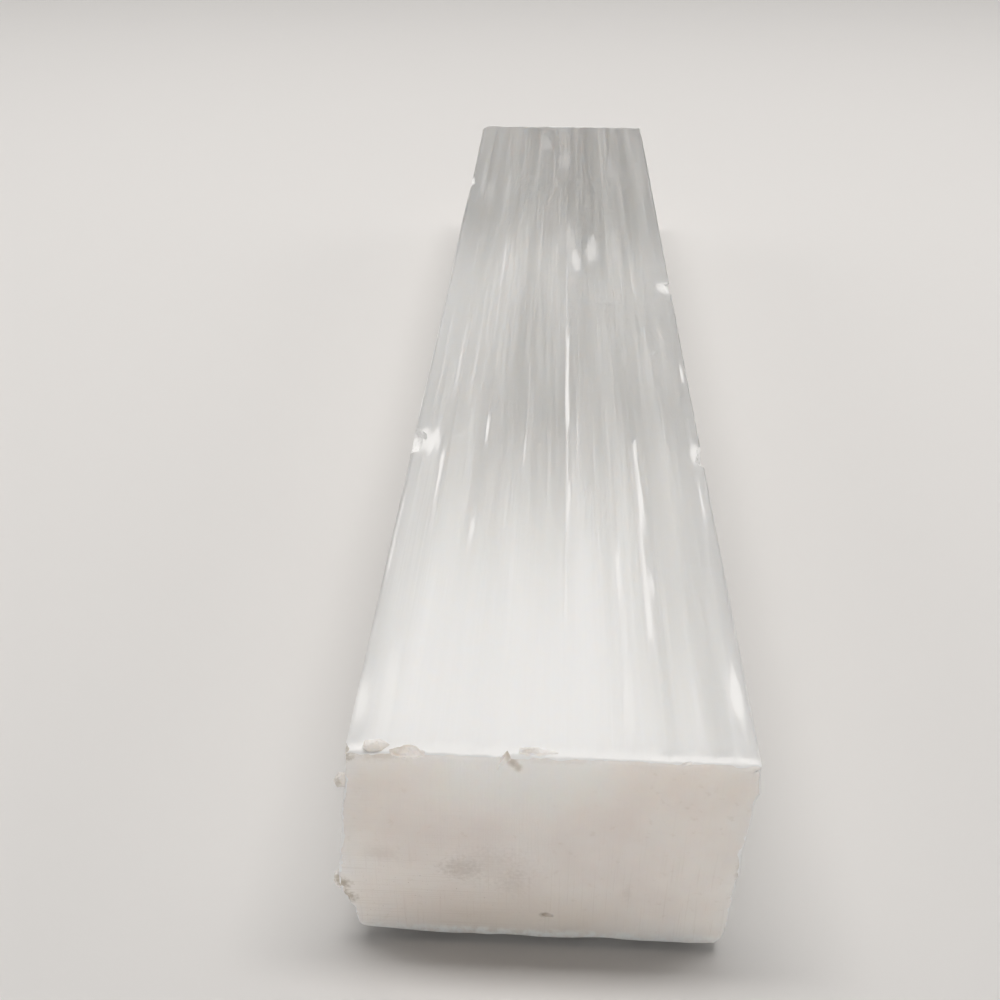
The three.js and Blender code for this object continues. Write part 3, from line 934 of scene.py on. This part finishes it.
# Small clouds, bruises and painted glints: place across and along, reach across and along, and strength.
# The clouds on the far half are partly painted glints, where cracks and the right arris catch the light.
CLOUDS_AND_GLINTS = [
    (-3.0, 106.0, 1.9, 14.0, 0.54),
    (1.9, 91.0, 2.7, 16.0, 0.54),
    (4.4, 20.0, 1.5, 11.0, 0.72),
    (8.1, 26.0, 2.0, 13.0, 0.66),
    (3.0, 34.0, 2.2, 14.0, 0.54),
    (-16.6, 66.0, 1.8, 16.0, 0.52),
    (13.8, 84.0, 1.8, 16.0, 0.50),
    (-10.0, 112.0, 2.2, 10.0, 0.40),
    (-19.2, -57.5, 3.0, 6.4, 1.0),
    (22.3, -60.0, 1.3, 4.4, 0.95),
    (22.0, 6.0, 2.0, 5.4, 1.0),
    (22.0, -114.0, 1.1, 6.5, 1.0),
    (-20.6, -117.0, 1.4, 6.0, 0.9),
]
# How ragged their outlines are, over what length and width, and their edge, in shares of their reach.
CLOUD_RAGGEDNESS = (0.22, 5, 0.6)
CLOUD_EDGE = (0.35, 1.25)

# How far below the top the flaws end, and the distances from a top arris between which its bruising ends.
FLAW_DEPTH = 1.2
ARRIS_REACH = (0.5, 1.6)


def flaw_masks(mesh, shift):
    """Writes two masks on the mesh's points: the white flaws and painted glints of the top, and nearness to
    the top arrises.
    """
    co = np.empty(len(mesh.vertices) * 3)
    mesh.vertices.foreach_get("co", co)
    x, y, z = (co.reshape(-1, 3) / MM).T
    x = x - shift
    flaw_and_glint = np.zeros(len(x))
    for i, (across, start, end, half_width, strength) in enumerate(STREAKS):
        far, length = STREAK_WANDER
        off = np.abs(x - across - far * noise(y / length, 0, SEED["streak wander"] + i))
        far, length = STREAK_SWELL
        width = half_width * (1 + far * noise(y / length, 0, SEED["streak swell"] + i))
        sharpness = 1 - smoothstep(off, width * STREAK_EDGE[0], width * STREAK_EDGE[1])
        beyond, short = STREAK_TAPER
        ends = smoothstep(y, start - beyond, start + short) * (1 - smoothstep(y, end - short, end + beyond))
        far, length, gap = STREAK_BREAKS
        broken = STREAK_MEAN + far * noise(y / length, x / gap, SEED["streak breaks"] + i)
        flaw_and_glint = np.maximum(flaw_and_glint, strength * sharpness * ends * broken)
    # Clouds: white flaws, and on the far half partly painted glints.
    for i, (across, along, reach_across, reach_along, strength) in enumerate(CLOUDS_AND_GLINTS):
        far, length, gap = CLOUD_RAGGEDNESS
        ragged = np.hypot((x - across) / reach_across, (y - along) / reach_along)
        ragged = ragged + far * noise(x / gap, y / length, SEED["clouds"] + i)
        flaw_and_glint = np.maximum(flaw_and_glint, strength * (1 - smoothstep(ragged, *CLOUD_EDGE)))
    near_top = smoothstep(z, HEIGHT - FLAW_DEPTH, HEIGHT - FLAW_DEPTH / 3)
    arris = np.zeros(len(x))
    for corner_x, corner_z, _ in (TOP_LEFT, TOP_RIGHT):
        arris = np.maximum(arris, 1 - smoothstep(np.hypot(x - corner_x, z - corner_z), *ARRIS_REACH))
    for name, values in (("flaw_and_glint", np.clip(flaw_and_glint * near_top, 0, 1)), ("arris", arris)):
        mesh.attributes.new(name, "FLOAT", "POINT").data.foreach_set("value", values)


# ---------------------------------------------------------------------------------------------------------
# The block.

# The angle past which an edge is drawn sharp, and how near a sawn end a face counts as sawn.
SHARP_ANGLE = math.radians(34)
SAWN_DEPTH = 0.12


def selenite_block():
    """Makes the block, and returns how far it moved across to be centred, in millimetres."""
    block = placed_object("selenite_bar", block_mesh())
    satin, sawn, broken = satin_spar(), sawn_face(), fresh_break()
    block.data.materials.append(satin)
    block.data.materials.append(sawn)
    for face in block.data.polygons:
        if abs(face.center.y) > (LENGTH / 2 - SAWN_DEPTH) * MM:
            face.material_index = 1

    crumbs = [lump_mesh("crumb", *crumb, SEED["crumbs"] + i) for i, crumb in enumerate(CRUMBS)]
    carve(block, lumps_object("crumbs", crumbs, sawn), "UNION")
    chalky, splintery = [lump_mesh("crack", *CRACK, SEED["crack"], octahedron=True)], []
    for i, chip in enumerate(CHIPS):
        near_an_end = abs(chip[0][1]) > LENGTH / 2 - CHALKY_DEPTH
        (chalky if near_an_end else splintery).append(lump_mesh("chip", *chip, SEED["chips"] + i))
    carve(block, lumps_object("chalky_chips", chalky, sawn), "DIFFERENCE")
    carve(block, lumps_object("splintery_chips", splintery, broken), "DIFFERENCE")

    mesh = block.data
    mesh.name = "selenite_bar"
    across = [v.co.x for v in mesh.vertices]
    shift = -(min(across) + max(across)) / 2
    mesh.transform(Matrix.Translation((shift, 0, 0)))
    flaw_masks(mesh, shift / MM)
    mesh.shade_smooth()
    mesh.set_sharp_from_angle(angle=SHARP_ANGLE)
    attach(block, "root")
    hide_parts(NODE)
    return shift / MM


# ---------------------------------------------------------------------------------------------------------
# The floor, the backdrop, the lights and the camera, in metres.

# The floor: its size, how far it lies below the block, and its colour.
FLOOR_SIZE = 6.0
FLOOR_GAP = 0.0002
FLOOR_COLOUR = (0.80, 0.785, 0.772)

# The backdrop: distances out and heights of its profile, where it fades in over the floor, and its colour.
BACKDROP_PROFILE = [(0.5, 0.0), (1.2, 0.0), (3.0, 0.0), (3.0, 3.0)]
BACKDROP_STEPS = 64
BACKDROP_FADE = (0.62, 1.0)
BACKDROP_COLOUR = (0.60, 0.592, 0.58)


def pale_floor():
    bm = bmesh.new()
    bmesh.ops.create_grid(bm, x_segments=1, y_segments=1, size=FLOOR_SIZE / 2)
    floor = placed_object("floor", finished_mesh(bm, "floor"))
    floor.location.z = -FLOOR_GAP
    material, tree, output, _, _ = new_material("floor")
    matt = add(tree, "ShaderNodeBsdfDiffuse", {"Color": (*FLOOR_COLOUR, 1)})
    tree.links.new(matt.outputs[0], output.inputs["Surface"])
    floor.data.materials.append(material)


def backdrop():
    """A pale surround that only the camera sees. It fades in over the floor and then rises."""
    bm = bmesh.new()
    profile = [bm.verts.new((out, 0, up)) for out, up in BACKDROP_PROFILE]
    edges = [bm.edges.new(pair) for pair in zip(profile, profile[1:])]
    bmesh.ops.spin(
        bm,
        geom=profile + edges,
        axis=(0, 0, 1),
        cent=(0, 0, 0),
        angle=math.tau,
        steps=BACKDROP_STEPS,
        use_merge=True,
    )
    surround = placed_object("backdrop", finished_mesh(bm, "backdrop"))
    surround.location.z = -FLOOR_GAP / 2
    surround.visible_diffuse = False
    surround.visible_glossy = False
    surround.visible_transmission = False
    surround.visible_volume_scatter = False
    surround.visible_shadow = False
    material, tree, output, place, _ = new_material("backdrop")
    material.use_transparent_shadow = False
    far_out = add(tree, "ShaderNodeVectorMath", {0: place}, operation="LENGTH").outputs["Value"]
    clear = add(tree, "ShaderNodeBsdfTransparent").outputs[0]
    pale = add(tree, "ShaderNodeEmission", {"Color": (*BACKDROP_COLOUR, 1)}).outputs[0]
    faded = add(tree, "ShaderNodeMixShader", {0: ramp(tree, far_out, *BACKDROP_FADE), 1: clear, 2: pale})
    tree.links.new(faded.outputs[0], output.inputs["Surface"])
    surround.data.materials.append(material)


WARM_WHITE = (1.0, 0.98, 0.955)
ROOM_COLOUR = (0.96, 0.98, 1.0)
ROOM_STRENGTH = 0.08

# Soft boxes: name, place, where it points, size, watts, and the angle of its spread.
SOFT_BOXES = [
    ("overhead_strip", (0.0, 0.035, 0.95), (0.0, 0.035, 0.0), (0.95, 0.135), 5.75, 180),
    ("back_softbox", (0.0, 0.72, 0.75), (0.0, -0.1, 0.0), (1.2, 0.54), 1.37, 115),
    ("side_softbox", (-1.0, 0.38, 0.48), (0.0, 0.0, 0.0), (0.8, 0.54), 2.0, 180),
    ("side_softbox", (1.0, 0.38, 0.48), (0.0, 0.0, 0.0), (0.8, 0.54), 2.0, 180),
    ("front_fill", (0.0, -1.30, 0.09), (0.0, 0.0, 0.02), (1.6, 0.145), 0.88, 60),
]


def soft_light(name, at, target, size, watts, spread):
    light = bpy.data.lights.new(name, "AREA")
    light.shape = "RECTANGLE"
    light.size, light.size_y = size
    light.energy = watts
    light.color = WARM_WHITE
    light.spread = math.radians(spread)
    obj = placed_object(name, light)
    obj.location = at
    obj.rotation_euler = (Vector(target) - Vector(at)).to_track_quat("-Z", "Y").to_euler()


def studio():
    scene = bpy.context.scene
    scene.view_settings.view_transform = "Standard"
    world = bpy.data.worlds.new("studio")
    scene.world = world
    world.use_nodes = True
    background = world.node_tree.nodes["Background"]
    background.inputs["Color"].default_value = (*ROOM_COLOUR, 1)
    background.inputs["Strength"].default_value = ROOM_STRENGTH
    for soft_box in SOFT_BOXES:
        soft_light(*soft_box)


# The camera: its place in millimetres, how far it looks down and to the left, its lens and film, and how far
# to the right of the tables' own middle the place is measured from.
CAMERA_AT = (-1.4, -213.7, 122.0)
CAMERA_PITCH = math.radians(33.0)
CAMERA_YAW = math.radians(2.84)
CAMERA_LENS = 41.4
CAMERA_SENSOR = 36
CAMERA_CLIP = 0.01
SECTION_OFFSET = 1.3


def camera(shift):
    data = bpy.data.cameras.new("camera")
    data.sensor_width = CAMERA_SENSOR
    data.lens = CAMERA_LENS
    data.clip_start = CAMERA_CLIP
    obj = placed_object("camera", data)
    obj.location = Vector(CAMERA_AT) * MM + Vector(((SECTION_OFFSET + shift) * MM, 0, 0))
    obj.rotation_euler = (math.pi / 2 - CAMERA_PITCH, 0, CAMERA_YAW)
    bpy.context.scene.camera = obj


shift = selenite_block()
pale_floor()
backdrop()
studio()
camera(shift)
